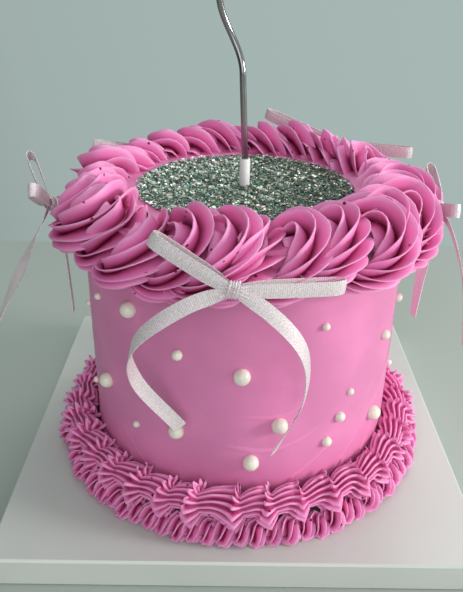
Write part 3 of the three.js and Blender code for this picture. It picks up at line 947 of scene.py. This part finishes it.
class CAKE_OT_candle(DressingOperator, bpy.types.Operator):
    """Set the wavy candle in its holder"""
    bl_idname = "cake.candle"
    bl_label = "Candle"

    def execute(self, context):
        sizes, colours = self.settings(context)
        self.add_candle(sizes.candle_diameter / 2, candle_finish(colours))
        self.add_holder(holder_finish())
        self.add_wick(wick_finish())
        return {"FINISHED"}

    @staticmethod
    def add_candle(radius, finish):
        bpy.ops.curve.primitive_nurbs_path_add()
        path = bpy.context.object
        path.data.splines.clear()
        spline = path.data.splines.new("POLY")
        steps = 110
        spline.points.add(steps)
        for step, point in enumerate(spline.points):
            height = CANDLE_FOOT + (CANDLE_TOP - CANDLE_FOOT) * step / steps
            point.co = (*candle_line(height) * MM, 1)
        path.data.bevel_depth = radius
        path.data.bevel_resolution = 5
        path.data.use_fill_caps = True
        bpy.ops.object.convert(target="MESH")
        candle = settle(bpy.context.object)
        candle.name = "wavy_candle"
        bpy.ops.object.shade_smooth_by_angle(angle=SOFT_EDGE)
        hand_over(candle, finish, "candle", "candle")

    @staticmethod
    def add_holder(finish):
        deselect()
        depth = (HOLDER_TOP - HOLDER_FOOT) * MM
        bpy.ops.mesh.primitive_cylinder_add(
            vertices=32, radius=HOLDER["radius"] * MM, depth=depth,
            location=(0, 0, HOLDER_FOOT * MM + depth / 2))
        holder = settle(bpy.context.object)
        holder.name = "plastic_holder"
        for face in holder.data.polygons:
            face.select = face.normal.z > 0.5
        bpy.ops.object.mode_set(mode="EDIT")
        bpy.ops.mesh.select_mode(type="FACE")
        bpy.ops.mesh.inset(thickness=HOLDER["wall"] * MM)
        bpy.ops.mesh.extrude_region_move(TRANSFORM_OT_translate={"value": (0, 0, -HOLDER["socket"] * MM)})
        bpy.ops.object.mode_set(mode="OBJECT")
        modify(holder, "BEVEL", width=HOLDER["rounded"] * MM, segments=3, limit_method="ANGLE")
        bpy.ops.object.shade_smooth_by_angle(angle=SHARP_EDGE)
        hand_over(holder, finish, "holder", "candle_holder")

    @staticmethod
    def add_wick(finish):
        deselect()
        low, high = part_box("candle_wick")
        middle = (low + high) / 2
        bpy.ops.mesh.primitive_cylinder_add(
            vertices=16, radius=(high.x - low.x) / 2, depth=high.z - low.z, location=middle)
        wick = settle(bpy.context.object)
        wick.name = "cotton_wick"
        modify(wick, "BEVEL", width=WICK_ROUNDED * MM, segments=2, limit_method="ANGLE")
        bpy.ops.object.shade_smooth_by_angle(angle=SHARP_EDGE)
        hand_over(wick, finish, "wick", "candle_wick")


def place_in_bow(bow, along, out, up):
    azimuth = math.radians(bow["azimuth"])
    place = outward_at(azimuth) * (bow["ring"] + out) + along_at(azimuth) * along
    return place + Vector((0, 0, bow["height"] + up))


def smooth_course(places, steps):
    """Evenly spaced points on a smooth curve through the places, and its length."""
    places = [np.array(place) for place in places]
    gaps = [np.linalg.norm(after - before) ** 0.5 for before, after in zip(places, places[1:])]
    knots = np.concatenate([[0], np.cumsum(gaps)])
    points = np.array([2 * places[0] - places[1], *places, 2 * places[-1] - places[-2]])
    times = np.array([2 * knots[0] - knots[1], *knots, 2 * knots[-1] - knots[-2]])
    last = len(points) - 3
    fine = []
    for part in range(1, last + 1):
        for moment in np.linspace(times[part], times[part + 1], COURSE_STEPS, endpoint=part == last):
            fine.append(spline_point(points[part - 1:part + 3], times[part - 1:part + 3], moment))
    fine = np.array(fine)
    run = np.concatenate([[0], np.cumsum(np.linalg.norm(np.diff(fine, axis=0), axis=1))])
    even = np.linspace(0, run[-1], steps + 1)
    return np.stack([np.interp(even, run, fine[:, axis]) for axis in range(3)], 1), run[-1]


def spline_point(points, times, moment):
    """A point of the centripetal spline between the middle two of four points."""

    def between(first, second, start, end):
        share = (moment - times[start]) / (times[end] - times[start])
        return first * (1 - share) + second * share

    early, middle, late = (between(points[i], points[i + 1], i, i + 1) for i in range(3))
    return between(between(early, middle, 0, 2), between(middle, late, 1, 3), 1, 2)


class CAKE_OT_bows(DressingOperator, bpy.types.Operator):
    """Tie the ribbon bows round the cake"""
    bl_idname = "cake.bows"
    bl_label = "Bows"

    LOOP_STEPS = 60
    TAIL_STEPS = 90
    KNOT_STEPS = 40

    def execute(self, context):
        sizes, colours = self.settings(context)
        self.width = sizes.ribbon_width / MM
        self.thickness = sizes.ribbon_thickness
        faces = (ribbon_finish("ribbon_face", colours.ribbon, 0.95, 0.6, 0.15),
                 # The back's finish, with its painted highlight colour
                 ribbon_finish("ribbon_back_highlight", colours.ribbon_back_highlight, 0.2, 0.88, 0.05))
        for name, bow in BOWS.items():
            bands = [self.loop(bow, end) for end in bow["loops"]]
            bands += [self.tail(bow, tail) for tail in bow["tails"]]
            bands.append(self.knot(bow))
            piece = join(bands, name + "_ribbon")
            piece.data.materials.clear()
            for finish in faces:
                piece.data.materials.append(finish)
            hand_over(piece, None, "ribbon", name)
        return {"FINISHED"}

    def band(self, course, run, width_at, gather, narrow=1, crease=0):
        """A strip along a course. gather narrows and pleats it near the knot, for each end, and crease
        pleats it all along."""
        steps = len(course) - 1
        travel = unit(np.gradient(course, axis=0))
        wide = np.array([width_at(step / steps, travel[step]) for step in range(steps + 1)])
        wide = unit(wide - travel * (wide * travel).sum(1, keepdims=True))
        normal = np.cross(travel, wide)
        deselect()
        bpy.ops.mesh.primitive_grid_add(x_subdivisions=steps, y_subdivisions=RIBBON_ROWS, size=1)
        strip = bpy.context.object
        rows = RIBBON_ROWS + 1
        points = np.zeros((rows, steps + 1, 3))
        share = np.arange(steps + 1) / steps
        tied = np.zeros(steps + 1)
        for end in gather:
            tied += np.clip(1 - np.abs(share - end) * run / GATHERED, 0, 1) ** 1.5
        for row in range(rows):
            across = row / RIBBON_ROWS * 2 - 1
            half = self.width / 2 * narrow * (1 - NARROWED * tied)
            hollow = HOLLOW * np.cos(math.pi * across)
            pleat = (PLEAT_DEPTH * tied + crease) * np.cos(PLEATS * math.pi * across) + hollow
            points[row] = course + wide * (across * half)[:, None] + normal * pleat[:, None]
        strip.data.vertices.foreach_set("co", (points.reshape(-1, 3) * MM).ravel())
        self.map_threads(strip, run)
        strip.data.update()
        modify(strip, "SOLIDIFY", thickness=self.thickness, offset=0, material_offset=1)
        bpy.ops.object.shade_smooth_by_angle(angle=SOFT_EDGE)
        return strip

    def map_threads(self, strip, run):
        """The strip's map in millimetres, along and across."""
        layer = strip.data.uv_layers.active
        found = np.zeros(len(layer.data) * 2)
        layer.data.foreach_get("uv", found)
        found = found.reshape(-1, 2) * (run, self.width)
        layer.data.foreach_set("uv", found.ravel())

    def loop(self, bow, end):
        along, out, up = end
        places = []
        for share, stand in LOOP_SHAPE:
            places.append(place_in_bow(bow, along * share, out * share + stand, up * share))
        course, run = smooth_course(places, self.LOOP_STEPS)
        reach = place_in_bow(bow, *end) - place_in_bow(bow, 0, 0, 0)
        wide = np.array(outward_at(math.radians(bow["azimuth"])).cross(reach))
        return self.band(course, run, lambda share, travel: wide, (0, 1))

    def tail(self, bow, tail):
        places = [place_in_bow(bow, 0, 0, 0)]
        for (sideways, down), out in zip(TAIL_SHAPE, tail.out):
            places.append(place_in_bow(bow, sideways * tail.spread, out, -down * tail.fall))
        places.append(place_in_bow(bow, tail.end, tail.out[-1], -tail.fall))
        course, run = smooth_course(places, self.TAIL_STEPS)
        outward = np.array(outward_at(math.radians(bow["azimuth"])))

        def width_at(share, travel):
            turn = math.radians(np.interp(4 * share, range(5), tail.turned))
            flat = unit(np.cross(outward, travel))
            return flat * math.cos(turn) + np.cross(travel, flat) * math.sin(turn)

        return self.band(course, run, width_at, (0,))

    def knot(self, bow):
        """A short band wrapped once round the middle."""
        places = []
        for step in range(KNOT_CORNERS + 1):
            turn = 2 * math.pi * step / KNOT_CORNERS
            rising, standing = math.sin(turn), math.cos(turn)
            place = (KNOT["along"] * rising, KNOT["out"] * standing, KNOT["up"] * rising)
            places.append(place_in_bow(bow, *place))
        course, run = smooth_course(places, self.KNOT_STEPS)
        azimuth = math.radians(bow["azimuth"])
        wide = np.array(along_at(azimuth))
        return self.band(course, run, lambda share, travel: wide, (), KNOT["narrow"], KNOT["crease"])


class CAKE_PT_dressing(bpy.types.Panel):
    """The cake's dressing steps and settings"""
    bl_idname = "CAKE_PT_dressing"
    bl_label = "Cake Dressing"
    bl_space_type = "VIEW_3D"
    bl_region_type = "UI"
    bl_category = "Cake"

    def draw(self, context):
        for step in STEPS:
            self.layout.operator(step.bl_idname)
        for group in (context.scene.cake_sizes, context.scene.cake_colours):
            box = self.layout.box()
            for name in group.__annotations__:
                box.prop(group, name)


STEPS = (CAKE_OT_studio, CAKE_OT_board, CAKE_OT_coat, CAKE_OT_pearls, CAKE_OT_top_border,
         CAKE_OT_foot_borders, CAKE_OT_glitter, CAKE_OT_candle, CAKE_OT_bows)
CLASSES = (CakeSizes, CakeColours, *STEPS, CAKE_PT_dressing)


def register():
    for part in CLASSES:
        bpy.utils.register_class(part)
    bpy.types.Scene.cake_sizes = bpy.props.PointerProperty(type=CakeSizes)
    bpy.types.Scene.cake_colours = bpy.props.PointerProperty(type=CakeColours)


def unregister():
    del bpy.types.Scene.cake_colours
    del bpy.types.Scene.cake_sizes
    for part in reversed(CLASSES):
        bpy.utils.unregister_class(part)


def main():
    register()
    for step in STEPS:
        group, name = step.bl_idname.split(".")
        getattr(getattr(bpy.ops, group), name)()


if __name__ == "__main__":
    main()
